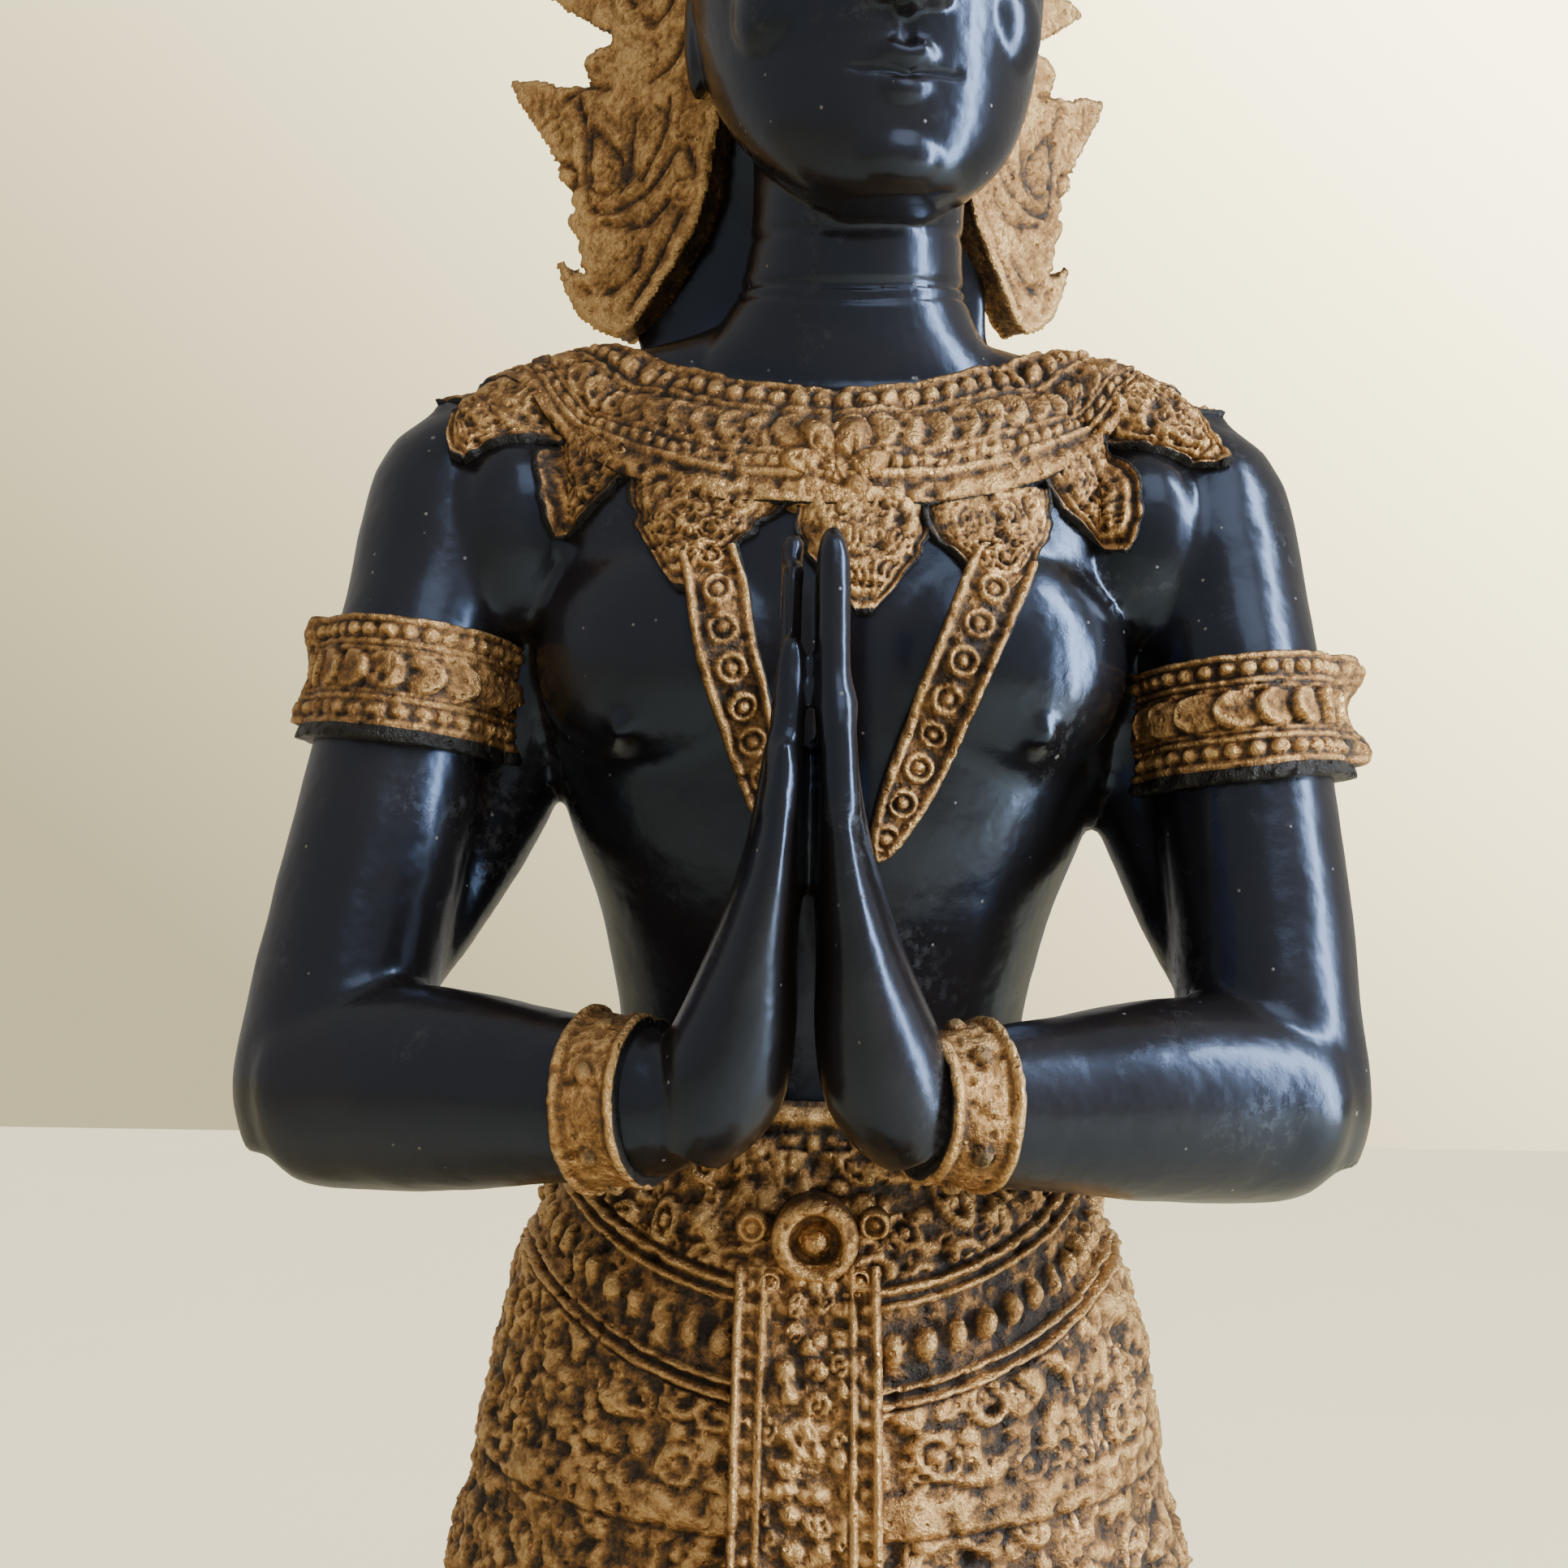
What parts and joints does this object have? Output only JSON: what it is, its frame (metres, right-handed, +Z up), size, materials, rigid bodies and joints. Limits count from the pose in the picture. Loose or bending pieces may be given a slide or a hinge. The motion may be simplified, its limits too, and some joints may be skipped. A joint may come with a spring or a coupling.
{
  "type": "thepphanom angel statue",
  "caption": "Kneeling crowned angel with palms pressed together, cast in metal and lacquered black with gilt collar, bands, belt and skirt, on a low rounded base.",
  "frame": {"origin": "centre of the base's underside", "axes": "+Z up to the tip of the crown, -Y the way the angel faces, +X the side of its left hand"},
  "size_m": [0.1718, 0.212, 0.4934],
  "materials": {
    "black lacquer": "glossy"
  },
  "bodies": {
    "root": {"angel_figure": "black lacquer"}
  },
  "joints": []
}
